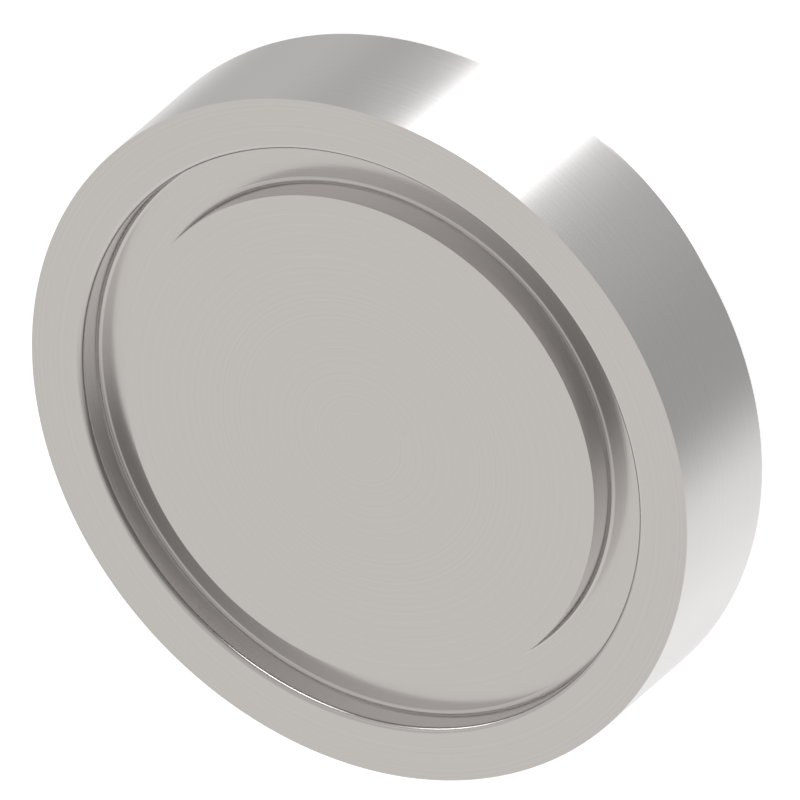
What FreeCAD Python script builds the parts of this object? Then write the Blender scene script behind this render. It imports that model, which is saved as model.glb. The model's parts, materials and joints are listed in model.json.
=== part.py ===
import FreeCAD, Part

import math
import os

import Sketcher

# Hydraulic face seal plug, in millimetres.
# One turned piece of steel: a round head with a seal groove in its front face, and a narrower stub behind it.
# The part stands on the stub's rear face. +Z is the turning axis and points out of the sealing face.
# The origin is the centre of the stub's rear face.

# Driving dimensions, each with what it is on the plug
DIMENSIONS = [
    ("head_diameter", 63.5, "outside of the head, which the clamp halves close around"),
    ("head_thickness", 12.57, "from the clamp shoulder to the sealing face"),
    ("shoulder_width", 6.35, "flat ring behind the head, which the clamp halves press on"),
    ("stub_length", 7.70, "from the stub's rear face to the clamp shoulder"),
    ("rim_width", 4.80, "sealing face between the groove and the edge of the head"),
    ("groove_width", 4.20, "room for the seal ring, across the groove"),
    ("groove_depth", 2.85, "room for the seal ring, below the sealing face"),
    ("groove_floor_radius", 0.45, "tool nose radius in both corners of the groove's floor"),
    ("groove_lip_radius", 0.50, "round on the outer lip, so that the seal ring isn't cut as it goes in"),
    ("stub_edge_chamfer", 0.20, "broken edge of the stub's rear face"),
]

# Radii about the turning axis and heights above the stub's rear face, which follow from the driving dimensions
DERIVED = [
    ("overall_length", "=stub_length + head_thickness"),
    ("head_radius", "=head_diameter / 2"),
    ("stub_radius", "=head_radius - shoulder_width"),
    ("groove_outer_radius", "=head_radius - rim_width"),
    ("groove_inner_radius", "=groove_outer_radius - groove_width"),
    ("groove_floor_height", "=overall_length - groove_depth"),
]

FULL_TURN = 360.0
# An edge counts as a given circle when its radius and height are this close, in millimetres
SAME_PLACE = 1e-6
# Share of the groove's worked-out volume by which its cut may differ
VOLUME_TOLERANCE = 1e-6


def make_sheet(doc):
    """The dimension sheet: names in column A, values in column B, and what each size is in column C."""
    sheet = doc.addObject("Spreadsheet::Sheet", "dimensions")
    for row, (name, value, meaning) in enumerate(DIMENSIONS, start=1):
        sheet.set(f"A{row}", name)
        sheet.set(f"B{row}", str(value))
        sheet.set(f"C{row}", meaning)
        sheet.setAlias(f"B{row}", name)
    for row, (name, formula) in enumerate(DERIVED, start=len(DIMENSIONS) + 1):
        sheet.set(f"A{row}", name)
        sheet.set(f"B{row}", formula)
        sheet.setAlias(f"B{row}", name)
    doc.recompute()
    return sheet


def sketch_half_section(body, sheet, name, corners):
    """A closed half section whose sides are all along or across the turning axis.

    Each corner is a pair of sheet names, its radius and its height. None stands for the axis or for the
    stub's rear face.
    """
    sketch = body.newObject("Sketcher::SketchObject", name)
    axis_plane = next(item for item in body.Origin.OriginFeatures if item.Role == "XZ_Plane")
    sketch.AttachmentSupport = (axis_plane, "")
    sketch.MapMode = "FlatFace"

    def size(cell):
        return float(sheet.get(cell)) if cell else 0.0

    points = [FreeCAD.Vector(size(radius), size(height), 0) for radius, height in corners]
    for side, start in enumerate(points):
        end = points[(side + 1) % len(points)]
        sketch.addGeometry(Part.LineSegment(start, end), False)
        across = abs(start.y - end.y) < SAME_PLACE
        sketch.addConstraint(Sketcher.Constraint("Horizontal" if across else "Vertical", side))
    for side in range(len(points)):
        sketch.addConstraint(Sketcher.Constraint("Coincident", side, 2, (side + 1) % len(points), 1))

    # One dimension for each radius and each height, bound to its cell
    for kind, axis, place in (("DistanceX", -2, 0), ("DistanceY", -1, 1)):
        for cell in dict.fromkeys(corner[place] for corner in corners):
            side = next(i for i, corner in enumerate(corners) if corner[place] == cell)
            if cell is None:
                sketch.addConstraint(Sketcher.Constraint("PointOnObject", side, 1, axis))
                continue
            index = sketch.addConstraint(Sketcher.Constraint(kind, -1, 1, side, 1, size(cell)))
            sketch.renameConstraint(index, cell)
            sketch.setExpression(f"Constraints.{cell}", f"{sheet.Name}.{cell}")
    return sketch


def turn_blank(body, sheet):
    """The bar turned to two diameters: the head, and the stub behind it."""
    section = sketch_half_section(body, sheet, "blank_section", [
        (None, None),
        ("stub_radius", None),
        ("stub_radius", "stub_length"),
        ("head_radius", "stub_length"),
        ("head_radius", "overall_length"),
        (None, "overall_length"),
    ])
    blank = body.newObject("PartDesign::Revolution", "turned_blank")
    blank.Profile = section
    blank.ReferenceAxis = (section, ["V_Axis"])
    blank.Angle = FULL_TURN
    body.Document.recompute()
    return blank


def cut_groove(body, sheet, blank):
    """The seal groove, plunged into the front face, which leaves the centre land level with that face."""
    section = sketch_half_section(body, sheet, "groove_section", [
        ("groove_inner_radius", "groove_floor_height"),
        ("groove_outer_radius", "groove_floor_height"),
        ("groove_outer_radius", "overall_length"),
        ("groove_inner_radius", "overall_length"),
    ])
    groove = body.newObject("PartDesign::Groove", "seal_groove")
    groove.Profile = section
    groove.ReferenceAxis = (section, ["V_Axis"])
    groove.Angle = FULL_TURN
    body.Document.recompute()

    ring_area = math.pi * (sheet.groove_outer_radius ** 2 - sheet.groove_inner_radius ** 2)
    ring_volume = ring_area * sheet.groove_depth
    cut_volume = blank.Shape.Volume - groove.Shape.Volume
    if abs(cut_volume - ring_volume) > VOLUME_TOLERANCE * ring_volume:
        raise RuntimeError(f"the groove cuts {cut_volume:.3f} mm3 and should cut {ring_volume:.3f} mm3")
    return groove


def dress_edges(body, sheet, feature_type, name, base, size_name, cell, circles):
    """A fillet or chamfer, bound to its cell, on the circular edges with the given radii and heights."""
    edges = []
    for radius, height in circles:
        for number, edge in enumerate(base.Shape.Edges, start=1):
            if not isinstance(edge.Curve, Part.Circle):
                continue
            same_radius = abs(edge.Curve.Radius - radius) < SAME_PLACE
            if same_radius and abs(edge.Curve.Center.z - height) < SAME_PLACE:
                edges.append(f"Edge{number}")
    if len(edges) != len(circles):
        raise RuntimeError(f"{name} found {len(edges)} edges and should have found {len(circles)}")
    dressed = body.newObject(feature_type, name)
    dressed.Base = (base, edges)
    dressed.setExpression(size_name, f"{sheet.Name}.{cell}")
    body.Document.recompute()
    return dressed


def finish_edges(body, sheet, groove):
    """The radii that the turning tools leave, and the broken edge at the back."""
    floor_corners = dress_edges(
        body, sheet, "PartDesign::Fillet", "groove_floor_corners", groove, "Radius", "groove_floor_radius",
        [(sheet.groove_inner_radius, sheet.groove_floor_height),
         (sheet.groove_outer_radius, sheet.groove_floor_height)])
    outer_lip = dress_edges(
        body, sheet, "PartDesign::Fillet", "groove_outer_lip", floor_corners, "Radius", "groove_lip_radius",
        [(sheet.groove_outer_radius, sheet.overall_length)])
    return dress_edges(
        body, sheet, "PartDesign::Chamfer", "stub_edge", outer_lip, "Size", "stub_edge_chamfer",
        [(sheet.stub_radius, 0.0)])


def make_plug_body(doc, sheet):
    """The whole plug, one solid turned from one bar."""
    body = doc.addObject("PartDesign::Body", "plug_body")
    body.Label = "plug_body"
    blank = turn_blank(body, sheet)
    groove = cut_groove(body, sheet, blank)
    body.Tip = finish_edges(body, sheet, groove)
    body.Placement = FreeCAD.Placement(FreeCAD.Vector(0, 0, 0), FreeCAD.Rotation())
    return body


def check_document(doc, subparts):
    """Stops before anything is written if an object failed or a sub-part isn't one valid solid."""
    for item in doc.Objects:
        if "Invalid" in item.State or "Error" in item.State:
            raise RuntimeError(f"{item.Name} failed: {item.State}")
    for subpart in subparts:
        shape = subpart.Shape
        if shape.isNull() or not shape.isValid() or len(shape.Solids) != 1:
            raise RuntimeError(f"{subpart.Label} isn't one valid solid")


def main():
    doc = FreeCAD.newDocument("face_seal_plug")
    sheet = make_sheet(doc)
    subparts = [make_plug_body(doc, sheet)]
    doc.recompute()
    check_document(doc, subparts)

    os.makedirs("parts", exist_ok=True)
    for subpart in subparts:
        subpart.Shape.exportStep(f"parts/{subpart.Label}.step")
        box = subpart.Shape.BoundBox
        print(f"{subpart.Label}: {box.XLength:.2f} x {box.YLength:.2f} x {box.ZLength:.2f} mm,"
              f" {subpart.Shape.Volume:.1f} mm3")


main()
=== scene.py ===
# %% [markdown]
# # A turned face seal plug
#
# The object is one piece of steel from a lathe: a round head with a groove for a seal ring in its face, and a
# narrower stub behind it. It closes a hydraulic port. Two clamp halves press the head against the port, and the
# ring in the groove seals the gap.
#
# The CAD model gives the plug's shape and sizes. This lesson looks at it from the photograph's angle, lights it
# in the way that bright metal needs, spins its shape smooth, and gives it a turned finish. Lengths are in metres.

# %% Load the plug and keep its CAD box
import json
import math

import bmesh
import bpy
from mathutils import Matrix, Vector


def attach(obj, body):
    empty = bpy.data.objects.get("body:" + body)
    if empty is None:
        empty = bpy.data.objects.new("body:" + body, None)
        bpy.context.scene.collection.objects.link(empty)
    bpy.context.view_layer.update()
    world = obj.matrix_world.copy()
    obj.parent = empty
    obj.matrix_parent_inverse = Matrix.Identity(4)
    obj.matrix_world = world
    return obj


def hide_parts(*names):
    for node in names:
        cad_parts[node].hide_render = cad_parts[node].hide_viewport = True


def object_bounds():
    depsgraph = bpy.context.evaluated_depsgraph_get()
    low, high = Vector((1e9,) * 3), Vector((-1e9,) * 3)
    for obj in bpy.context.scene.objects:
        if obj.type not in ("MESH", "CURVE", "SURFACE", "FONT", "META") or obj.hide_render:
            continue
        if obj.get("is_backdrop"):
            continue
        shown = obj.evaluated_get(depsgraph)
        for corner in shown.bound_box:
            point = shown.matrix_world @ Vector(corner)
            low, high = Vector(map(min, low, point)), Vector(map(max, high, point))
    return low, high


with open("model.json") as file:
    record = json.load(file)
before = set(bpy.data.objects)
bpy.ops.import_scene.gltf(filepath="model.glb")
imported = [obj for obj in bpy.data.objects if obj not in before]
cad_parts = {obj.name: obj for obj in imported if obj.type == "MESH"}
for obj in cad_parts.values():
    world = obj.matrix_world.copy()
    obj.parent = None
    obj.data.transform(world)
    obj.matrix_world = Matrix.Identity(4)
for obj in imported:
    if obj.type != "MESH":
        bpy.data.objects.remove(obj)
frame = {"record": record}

MM_PER_METRE = 1000

cad_low, cad_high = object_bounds()
head_diameter = cad_high.x - cad_low.x
face_height = cad_high.z
print(f"the plug is {head_diameter * MM_PER_METRE:.2f} mm across and {face_height * MM_PER_METRE:.2f} mm tall")

# %% [markdown]
# ## The camera
#
# In the photograph the round head is an ellipse, and its short axis is 0.75 of its long one. A circle seen from
# an elevation of e degrees is squeezed to sin(e), so the camera stands 48.6 degrees above the face's plane.
#
# The plug stands flat here, and the photograph shows it tipped over. Tipping the plug would lift it off the floor.
# Rolling the camera about its own line of sight gives the same picture and leaves the plug where it stands.
#
# The plug is round, so the camera may stand on any side of it, and the studio's lights turn with the camera. Two
# of them are low and bright. With the camera 30 degrees round, they don't glare in the plug's face when it is
# looked at from a low corner.

# %% Camera angles
CAMERA_AZIMUTH = math.radians(-30)
CAMERA_ELEVATION = math.radians(48.58)
CAMERA_ROLL = math.radians(-130.9)

level_to_camera = Matrix.Rotation(CAMERA_AZIMUTH, 3, "Z") @ Vector((0, -1, 0))
upright = Vector((0, 0, 1))
to_camera = level_to_camera * math.cos(CAMERA_ELEVATION) + upright * math.sin(CAMERA_ELEVATION)
unrolled = (-to_camera).to_track_quat("-Z", "Y").to_matrix()
camera_axes = Matrix.Rotation(CAMERA_ROLL, 3, to_camera) @ unrolled
screen_right, screen_up = camera_axes.col[0], camera_axes.col[1]
axis_angle = math.degrees(math.atan2(screen_up.z, screen_right.z)) % 360
print(f"the turning axis points {axis_angle:.1f} degrees round the picture, counted from the right")

# %% [markdown]
# The head's back edge has the same size as its front edge in the photograph. So there is no perspective, and the
# camera is orthographic. A long lens from far away would look nearly the same, but an orthographic camera is
# framed with one number: the width that it sees. That width follows from the pixels that the head takes up.

# %% Framing
HEAD_PIXELS = 756.46
PICTURE_PIXELS = 800
# From the middle of the face to the middle of the picture, across and up the picture
AIM_RIGHT = 0.003402
AIM_UP = 0.003320
CAMERA_DISTANCE = 0.5

camera = bpy.data.objects.new("camera", bpy.data.cameras.new("camera"))
bpy.context.scene.collection.objects.link(camera)
camera.data.type = "ORTHO"
camera.data.ortho_scale = head_diameter / (HEAD_PIXELS / PICTURE_PIXELS)
aim = upright * face_height + screen_right * AIM_RIGHT + screen_up * AIM_UP
camera.rotation_euler = camera_axes.to_euler()
camera.location = aim + to_camera * CAMERA_DISTANCE
bpy.context.scene.camera = camera
print(f"the camera sees {camera.data.ortho_scale * MM_PER_METRE:.2f} mm of width")

# %% [markdown]
# ## Helpers for node trees
#
# A finish or a sky in Blender is a small program made of nodes. Written out in full, most of it would be lines
# that add nodes and join their sockets. Three short helpers keep it readable: one gives a socket its input, one
# adds a node with all its inputs, and one does a step of arithmetic.

# %% Adding nodes and doing arithmetic
def plug_in(tree, socket, value):
    """Joins a socket to another node's output, or gives it a fixed value."""
    if isinstance(value, bpy.types.NodeSocket):
        tree.links.new(value, socket)
    else:
        socket.default_value = value


def add_node(tree, kind, inputs=(), **settings):
    """Adds a node. Each input is a pair of its name or number and either a value or another node's output."""
    node = tree.nodes.new(kind)
    for name, value in settings.items():
        setattr(node, name, value)
    for name, value in inputs:
        plug_in(tree, node.inputs[name], value)
    return node


def calculate(tree, operation, *terms):
    """One arithmetic step on numbers or outputs, returned as an output."""
    return add_node(tree, "ShaderNodeMath", list(enumerate(terms)), operation=operation).outputs[0]


print("helpers made: plug_in, add_node, calculate")

# %% [markdown]
# Lights fade out at their edges, and the metal's colour changes a little from ring to ring. Both need a share
# between 0 and 1. One more helper makes such a share, and another one mixes two colours by it.

# %% Soft steps and mixed colours
def soft_step(tree, value, start, end):
    """0 before start, 1 after end, with a smooth rise between. The two may be given the other way round."""
    step = add_node(
        tree, "ShaderNodeMapRange",
        [("Value", value), ("From Min", start), ("From Max", end)],
        interpolation_type="SMOOTHSTEP")
    return step.outputs[0]


def mix_colours(tree, share, first, second):
    """The first colour at share 0, the second at share 1."""
    mix = add_node(tree, "ShaderNodeMix", data_type="RGBA")
    sockets = {socket.name: socket for socket in mix.inputs if socket.enabled}
    for name, value in (("Factor", share), ("A", first), ("B", second)):
        plug_in(tree, sockets[name], value)
    return next(socket for socket in mix.outputs if socket.enabled)


print("helpers made: soft_step, mix_colours")

# %% [markdown]
# ## The studio
#
# Bright metal has almost no colour of its own: it shows the room. So the room is the finish's other half. It could
# be built from lamps and white boards, but the boards would stand in the way of every other view. A sky is never
# in the way. This one is a white tent with soft panels in it, each given by the direction that it is in, its width
# and its brightness. A panel of negative brightness is a dark flag, which draws a shade into the metal.
#
# Directions are seen from the plug: degrees round from the camera's side, and degrees above the horizon. The
# photograph's plug is tipped over with its main light overhead, and for the plug lying flat that is below the
# horizon. The floor would hide it, so the floor is left out of reflections. The two thin tubes just above the
# horizon draw the bright line along the groove's outer lip.

# %% Panels of the tent
TENT_LEVEL = 0.546
# Each panel: name, degrees round from the camera, half width, edge, degrees up, half height, edge, brightness
PANELS = [
    ("key", 44.7, 20.0, 9.0, -48.0, 30.0, 20.0, 1.32),
    ("key skirt", 42.0, 24.0, 40.5, -43.0, 30.0, 34.0, 0.43),
    ("left wall", -117.0, 38.0, 36.0, -39.0, 37.0, 28.0, 0.473),
    ("far wall", 181.5, 19.5, 39.0, -43.5, 30.5, 30.0, 0.465),
    ("horizon band", -130.5, 67.0, 10.5, 23.5, 12.5, 17.5, 0.157),
    ("far sky", -143.5, 64.5, 25.5, 43.0, 15.0, 16.0, 0.148),
    ("right sky", 76.5, 49.5, 53.0, 44.0, 7.5, 8.0, 0.093),
    ("left sky", -128.0, 25.0, 25.5, 49.0, 6.0, 12.0, 0.029),
    ("dark flag", -49.0, 48.0, 92.0, 31.0, 43.5, 31.0, -0.158),
    ("wide flag", -11.5, 71.5, 68.0, 16.5, 33.5, 60.0, -0.259),
    ("low flag", -63.5, 46.0, 53.0, -52.0, 25.5, 25.0, -0.127),
    ("side glow", 116.0, 11.0, 18.0, -52.0, 16.0, 20.0, 0.036),
    ("side shade", 92.0, 6.0, 12.0, -52.0, 16.0, 20.0, -0.038),
    ("near tube", 41.5, 17.5, 14.0, 7.5, 4.0, 3.0, 3.6),
    ("far tube", 96.0, 11.0, 11.0, 7.5, 4.0, 3.0, 3.1),
]
print(f"the tent has brightness {TENT_LEVEL} and {len(PANELS)} panels")

# %% [markdown]
# A panel has soft edges all round, because a hard edge would show as a hard line in the metal. Its light is a
# product: one soft step across its width, one up and down its height, and its brightness. The angle round the plug
# jumps from 180 to -180 degrees behind it, so the angle from a panel's middle is wrapped first. Otherwise a panel
# back there would be cut in two.

# %% The light of one panel
def soft_edge(tree, away, half, edge):
    """1 inside a panel and 0 outside it, by the angle away from its middle. The two sizes are in degrees."""
    return soft_step(tree, away, math.radians(half + edge / 2), math.radians(half - edge / 2))


def panel_light(tree, azimuth, elevation, panel):
    """The brightness that one panel adds in a direction."""
    round_deg, half_width, width_edge, up_deg, half_height, height_edge, brightness = panel[1:]
    turned = calculate(tree, "SUBTRACT", azimuth, math.radians(round_deg) + CAMERA_AZIMUTH)
    sideways = calculate(tree, "ABSOLUTE", calculate(tree, "WRAP", turned, math.pi, -math.pi))
    raised = calculate(tree, "ABSOLUTE", calculate(tree, "SUBTRACT", elevation, math.radians(up_deg)))
    across = soft_edge(tree, sideways, half_width, width_edge)
    along = soft_edge(tree, raised, half_height, height_edge)
    return calculate(tree, "MULTIPLY", calculate(tree, "MULTIPLY", across, along), brightness)


def tent_strength(tree, azimuth, elevation):
    """The tent's brightness in a direction, with all its panels."""
    total = TENT_LEVEL
    for panel in PANELS:
        total = calculate(tree, "ADD", panel_light(tree, azimuth, elevation, panel), total)
    return total


key_half_width, key_edge = PANELS[0][2:4]
print(f"the key is full up to {key_half_width - key_edge / 2:.1f} degrees from its middle, and gone at"
      f" {key_half_width + key_edge / 2:.1f}")

# %% [markdown]
# Light Path tells which kind of ray is asking for light. Reflections get the tent. The camera gets plain white
# behind the plug. All other rays get an even sky, which lights the floor without patches. On the photograph's
# metal, the light from above is a little warmer than the light from below, and the tint follows that.

# %% The sky of the studio
WHITE = (1.0, 1.0, 1.0, 1.0)
WHITE_LEVEL = 1.0
SKY_LEVEL = 0.40
TINT_ABOVE = (1.027, 1.0, 0.963, 1.0)
TINT_BELOW = (1.003, 1.0, 0.992, 1.0)
TINT_BLEND = math.radians(25)


def make_studio():
    """The world: the tent for reflections, white for the camera and an even sky for the rest."""
    world = bpy.data.worlds.new("white_studio")
    world.use_nodes = True
    tree = world.node_tree
    tree.nodes.clear()
    direction = add_node(tree, "ShaderNodeTexCoord").outputs["Generated"]
    part = add_node(tree, "ShaderNodeSeparateXYZ", [(0, direction)]).outputs
    # Counted from -Y, as the camera's own angle is
    azimuth = calculate(tree, "ARCTAN2", part["X"], calculate(tree, "MULTIPLY", part["Y"], -1.0))
    elevation = calculate(tree, "ARCSINE", part["Z"])
    above = soft_step(tree, elevation, -TINT_BLEND, TINT_BLEND)
    tint = mix_colours(tree, above, TINT_BELOW, TINT_ABOVE)
    strength = tent_strength(tree, azimuth, elevation)

    tent = add_node(tree, "ShaderNodeBackground", [("Color", tint), ("Strength", strength)]).outputs[0]
    sky = add_node(tree, "ShaderNodeBackground", [("Color", WHITE), ("Strength", SKY_LEVEL)]).outputs[0]
    white = add_node(tree, "ShaderNodeBackground", [("Color", WHITE), ("Strength", WHITE_LEVEL)]).outputs[0]
    rays = add_node(tree, "ShaderNodeLightPath").outputs
    reflected = calculate(tree, "MAXIMUM", rays["Is Glossy Ray"], rays["Is Transmission Ray"])
    light = add_node(tree, "ShaderNodeMixShader", [(0, reflected), (1, sky), (2, tent)]).outputs[0]
    shown = add_node(tree, "ShaderNodeMixShader", [(0, rays["Is Camera Ray"]), (1, light), (2, white)]).outputs[0]
    add_node(tree, "ShaderNodeOutputWorld", [("Surface", shown)])
    bpy.context.scene.world = world
    print(f"the sky is made of {len(tree.nodes)} nodes")


make_studio()

# %% [markdown]
# ## The floor
#
# The floor is a pale sheet, and in the photograph it is pure white. More lamps would make it so, but they would
# burn out the plug as well. So the floor gets a little glow that only camera rays see, and it stays darker where
# the shadow falls.

# %% The floor
FLOOR_SIZE = 4.0
FLOOR_COLOUR = (0.8, 0.8, 0.8, 1.0)
FLOOR_GLOW = 0.45


def make_floor():
    """A square sheet under the plug, which isn't seen in reflections."""
    half = FLOOR_SIZE / 2
    mesh = bpy.data.meshes.new("floor")
    mesh.from_pydata([(-half, -half, 0), (half, -half, 0), (half, half, 0), (-half, half, 0)], [], [(0, 1, 2, 3)])
    floor = bpy.data.objects.new("floor", mesh)
    bpy.context.scene.collection.objects.link(floor)
    floor.visible_glossy = False
    material = bpy.data.materials.new("pale_floor")
    material.use_nodes = True
    tree = material.node_tree
    tree.nodes.clear()
    sheet = add_node(tree, "ShaderNodeBsdfDiffuse", [("Color", FLOOR_COLOUR)])
    seen = add_node(tree, "ShaderNodeLightPath").outputs["Is Camera Ray"]
    glow = add_node(tree, "ShaderNodeEmission", [("Strength", calculate(tree, "MULTIPLY", seen, FLOOR_GLOW))])
    both = add_node(tree, "ShaderNodeAddShader", [(0, sheet.outputs[0]), (1, glow.outputs[0])])
    add_node(tree, "ShaderNodeOutputMaterial", [("Surface", both.outputs[0])])
    mesh.materials.append(material)
    floor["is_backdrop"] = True


make_floor()
print(f"the floor is {FLOOR_SIZE:.0f} m wide")

# %% [markdown]
# ## The lamp
#
# The lamp is far away, like a small sun. It stands half a degree higher than the camera and on the same side, so
# the shadow falls behind the plug, where the camera doesn't see it. It is still low enough to shine in under the
# head, up to the foot of the stub. An area lamp near the plug would give a softer shadow, but it would light the
# floor unevenly. The lamp's own reflection is switched off, because the panels make the reflections.

# %% The lamp
LAMP_ELEVATION = math.radians(49.0)
LAMP_SOFTNESS = math.radians(3.5)
LAMP_STRENGTH = 2.8


def make_lamp():
    """A soft sun on the camera's side."""
    lamp = bpy.data.objects.new("soft_lamp", bpy.data.lights.new("soft_lamp", "SUN"))
    bpy.context.scene.collection.objects.link(lamp)
    lamp.data.angle = LAMP_SOFTNESS
    lamp.data.energy = LAMP_STRENGTH
    towards = level_to_camera * math.cos(LAMP_ELEVATION) + upright * math.sin(LAMP_ELEVATION)
    lamp.rotation_euler = towards.to_track_quat("Z", "Y").to_euler()
    lamp.visible_glossy = False


make_lamp()
print(f"the lamp shines down at {math.degrees(LAMP_ELEVATION):.0f} degrees")

# %% [markdown]
# ## The half section
#
# Every surface of the plug is swept by one line going round the turning axis. That line is the half section. It
# starts at the middle of the sealing face, runs out over the land, down into the groove and up again, over the
# rim, down the outside and in to the middle of the back. All its corners are right angles, and the tools leave
# some of them round.
#
# The CAD model has the same section, but its round corners are cut into few flat strips, which shows in polished
# metal. So the section is spun again here, with many more steps. The sizes that the record states are read from
# it. The rest are given here.

# %% Sizes of the half section
mounts = {mount["name"]: mount for mount in frame["record"]["mounts"]}
head_radius = mounts["head_rim"]["dims"]["r_mm"] / MM_PER_METRE
stub_radius = mounts["stub"]["dims"]["r_mm"] / MM_PER_METRE
shoulder_height = mounts["clamp_shoulder"]["pos_m"][2]
groove_floor_height = mounts["seal_groove_floor"]["pos_m"][2]
LAND_RADIUS = 0.02275
GROOVE_OUTER_RADIUS = 0.02695
GROOVE_FLOOR_ROUND = 0.00045
GROOVE_LIP_ROUND = 0.00050
STUB_EDGE_CHAMFER = 0.0002

groove_width = GROOVE_OUTER_RADIUS - LAND_RADIUS
groove_depth = face_height - groove_floor_height
print(f"the groove is {groove_width * MM_PER_METRE:.2f} mm wide and {groove_depth * MM_PER_METRE:.2f} mm deep")

# %% [markdown]
# The section is kept as a list of its corners, in order from the middle of the face to the middle of the back. A
# drawing could be traced as a curve instead, but in a list each number can be read and changed.

# %% Corners of the half section
ROUND_STRIPS = 14
CHAMFER_STRIPS = 1
# Each corner: distance from the axis, height, size of its round or chamfer, and the flat strips that it is made of
corners = [
    (0.0, face_height, 0.0, 0),
    (LAND_RADIUS, face_height, 0.0, 0),
    (LAND_RADIUS, groove_floor_height, GROOVE_FLOOR_ROUND, ROUND_STRIPS),
    (GROOVE_OUTER_RADIUS, groove_floor_height, GROOVE_FLOOR_ROUND, ROUND_STRIPS),
    (GROOVE_OUTER_RADIUS, face_height, GROOVE_LIP_ROUND, ROUND_STRIPS),
    (head_radius, face_height, 0.0, 0),
    (head_radius, shoulder_height, 0.0, 0),
    (stub_radius, shoulder_height, 0.0, 0),
    (stub_radius, 0.0, STUB_EDGE_CHAMFER, CHAMFER_STRIPS),
    (0.0, 0.0, 0.0, 0),
]
print(f"the half section has {len(corners)} corners")

# %% [markdown]
# A tool with a round nose leaves a quarter circle in a corner. The circle's centre lies one radius from both
# sides, so it is found by stepping from the corner back along one side and onward along the other. A Bevel
# modifier could round the finished mesh, but it would have to be told which edges to take. In the list, each
# corner says so itself. A chamfer is the same arc, cut straight across as a single strip.

# %% Round the corners of the half section
def rounded_section(corners):
    """The section's points, with each sized corner replaced by a quarter circle, or by a chamfer of one strip."""
    points = []
    for place, (radius, height, size, strips) in enumerate(corners):
        corner = Vector((radius, 0, height))
        if not strips:
            points.append(corner)
            continue
        before, after = corners[place - 1], corners[place + 1]
        back = (Vector((before[0], 0, before[1])) - corner).normalized()
        onward = (Vector((after[0], 0, after[1])) - corner).normalized()
        centre = corner + (back + onward) * size
        for strip in range(strips + 1):
            turn = math.pi / 2 * strip / strips
            points.append(centre - onward * size * math.cos(turn) - back * size * math.sin(turn))
    return points


section = rounded_section(corners)
print(f"the half section has {len(section)} points")

# %% [markdown]
# ## Spinning the plug
#
# A lathe makes a round part by turning it. Here the section is turned too: it is copied round the axis in equal
# steps, and each copy is joined to the next by faces. The Screw modifier does the same, but it leaves one point a
# step where the section meets the axis. In this mesh all steps share a single point there.
#
# Smooth shading hides the steps. Edges sharper than a limit are marked, so that corners stay crisp. The Weighted
# Normal modifier then keeps the flat faces flat right up to the rounds beside them.

# %% Spin the half section into a plug
TURN_STEPS = 480
SHARP_CORNER = math.radians(30)


def spin_section(section, name):
    """A round piece whose half section starts and ends on the axis."""
    shape = bmesh.new()
    top, bottom = shape.verts.new(section[0]), shape.verts.new(section[-1])
    rings = []
    for step in range(TURN_STEPS):
        turn = Matrix.Rotation(math.tau * step / TURN_STEPS, 3, "Z")
        rings.append([top] + [shape.verts.new(turn @ point) for point in section[1:-1]] + [bottom])
    for ring, following in zip(rings, rings[1:] + rings[:1]):
        shape.faces.new([top, ring[1], following[1]])
        for place in range(1, len(section) - 2):
            shape.faces.new([ring[place], ring[place + 1], following[place + 1], following[place]])
        shape.faces.new([bottom, following[-2], ring[-2]])
    mesh = bpy.data.meshes.new(name)
    shape.to_mesh(mesh)
    shape.free()
    mesh.shade_smooth()
    mesh.set_sharp_from_angle(angle=SHARP_CORNER)
    piece = bpy.data.objects.new(name, mesh)
    bpy.context.scene.collection.objects.link(piece)
    crisp = piece.modifiers.new("crisp_flats", "WEIGHTED_NORMAL")
    crisp.keep_sharp = True
    return piece


turned_plug = spin_section(section, "turned_plug")
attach(turned_plug, "root")
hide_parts("plug_body")
print(f"the turned plug has {len(turned_plug.data.polygons)} faces")

# %% [markdown]
# ## Turned steel
#
# The plug is finished on the lathe and bright plated. The tool leaves fine rings, a fifth of a millimetre apart
# and about a thousandth of a millimetre deep. They are far too small to model. They could be painted on as a
# picture, but then they would stretch at the edges. Here a noise makes them, along a single number.
#
# That number is the distance from the turning axis plus the height. On a flat face only the distance changes, on
# a straight wall only the height, and round a corner both do, so one finish fits the whole plug.

# %% Where the tool's rings lie
RINGS_PER_MM = 5.0
RING_NOISE_DETAIL = 3.0
RING_NOISE_ROUGHNESS = 0.6


def ring_place(tree):
    """The distance from the turning axis plus the height, in millimetres."""
    place = add_node(tree, "ShaderNodeTexCoord").outputs["Object"]
    part = add_node(tree, "ShaderNodeSeparateXYZ", [(0, place)]).outputs
    squares = [calculate(tree, "POWER", part[axis], 2.0) for axis in "XY"]
    distance = calculate(tree, "SQRT", calculate(tree, "ADD", *squares))
    return calculate(tree, "MULTIPLY", calculate(tree, "ADD", distance, part["Z"]), MM_PER_METRE)


def ring_noise(tree):
    """The tool's rings, from 0 to 1."""
    noise = add_node(
        tree, "ShaderNodeTexNoise",
        [("W", ring_place(tree)), ("Scale", RINGS_PER_MM), ("Detail", RING_NOISE_DETAIL),
         ("Roughness", RING_NOISE_ROUGHNESS)],
        noise_dimensions="1D")
    return noise.outputs["Fac"]


print(f"about {head_radius * MM_PER_METRE * RINGS_PER_MM:.0f} rings lie between the middle of the face and its edge")

# %% [markdown]
# The rings make the metal a little duller and brighter by turns. The plating itself is very even. Its grain makes
# clouds a few millimetres wide, in which the metal is slightly more or less dull. They are too faint to see head
# on. They show only where a bright reflection ends. A second noise makes them, this time in all three directions.

# %% How dull each place is
STEEL_ROUGHNESS = 0.18
RING_DULLNESS = 0.05
CLOUDS_PER_MM = 0.35
CLOUD_NOISE_DETAIL = 2.0
CLOUD_DULLNESS = 0.04
NOISE_MIDDLE = 0.5


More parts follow.
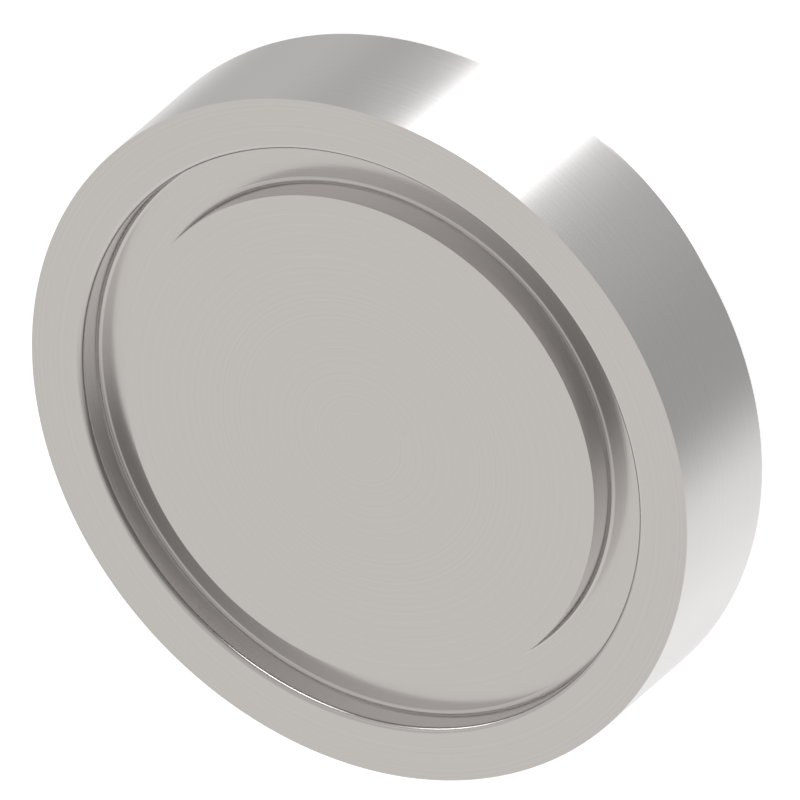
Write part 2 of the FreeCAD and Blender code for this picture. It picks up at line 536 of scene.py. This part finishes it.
def dullness(tree, rings):
    """The steel's roughness, which the rings and the plating's clouds raise and lower a little."""
    place = add_node(tree, "ShaderNodeTexCoord").outputs["Object"]
    clouds = add_node(
        tree, "ShaderNodeTexNoise",
        [("Vector", place), ("Scale", CLOUDS_PER_MM * MM_PER_METRE), ("Detail", CLOUD_NOISE_DETAIL)]).outputs["Fac"]
    ring_part = calculate(tree, "MULTIPLY", calculate(tree, "SUBTRACT", rings, NOISE_MIDDLE), RING_DULLNESS)
    cloud_part = calculate(tree, "MULTIPLY", calculate(tree, "SUBTRACT", clouds, NOISE_MIDDLE), CLOUD_DULLNESS)
    return calculate(tree, "ADD", calculate(tree, "ADD", ring_part, cloud_part), STEEL_ROUGHNESS)


largest_change = (RING_DULLNESS + CLOUD_DULLNESS) / 2
print(f"the steel's roughness is {STEEL_ROUGHNESS}, and changes by {largest_change:.3f} at most")

# %% [markdown]
# One Principled shader does the rest. Metal has no paint under its shine, so Metallic is 1, and the base colour is
# the share of the light that it mirrors: about 0.72 for this plating, with a trace more red than blue. The rings
# move that share a little, and Bump turns their height into a slight tilt of the surface.

# %% Turned steel finish
STEEL_DARKER = (0.705, 0.690, 0.684, 1.0)
STEEL_LIGHTER = (0.764, 0.750, 0.743, 1.0)
RING_HEIGHT = 0.002 / MM_PER_METRE


def make_turned_steel():
    """Bright plated steel with the tool's rings."""
    material = bpy.data.materials.new("turned_steel")
    material.use_nodes = True
    tree = material.node_tree
    tree.nodes.clear()
    rings = ring_noise(tree)
    colour = mix_colours(tree, rings, STEEL_DARKER, STEEL_LIGHTER)
    relief = add_node(tree, "ShaderNodeBump", [("Height", rings), ("Distance", RING_HEIGHT)]).outputs[0]
    steel = add_node(tree, "ShaderNodeBsdfPrincipled", [
        ("Base Color", colour), ("Metallic", 1.0), ("Roughness", dullness(tree, rings)), ("Normal", relief)])
    add_node(tree, "ShaderNodeOutputMaterial", [("Surface", steel.outputs[0])])
    return material


turned_plug.data.materials.append(make_turned_steel())
print("the finish goes on", turned_plug.name)

# %% [markdown]
# ## Closing the scene
#
# The Standard view leaves colours as they are, so the white floor is white. The box round the dressed plug is
# compared with the CAD box. The two should agree, because a finish doesn't change the plug's size.

# %% Compare both boxes and close the scene
bpy.context.scene.view_settings.view_transform = "Standard"
low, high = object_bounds()
widest_gap = max(abs(new - old) for new, old in zip([*low, *high], [*cad_low, *cad_high]))
print(f"the dressed plug's box differs from the CAD box by {widest_gap * MM_PER_METRE:.4f} mm at most")
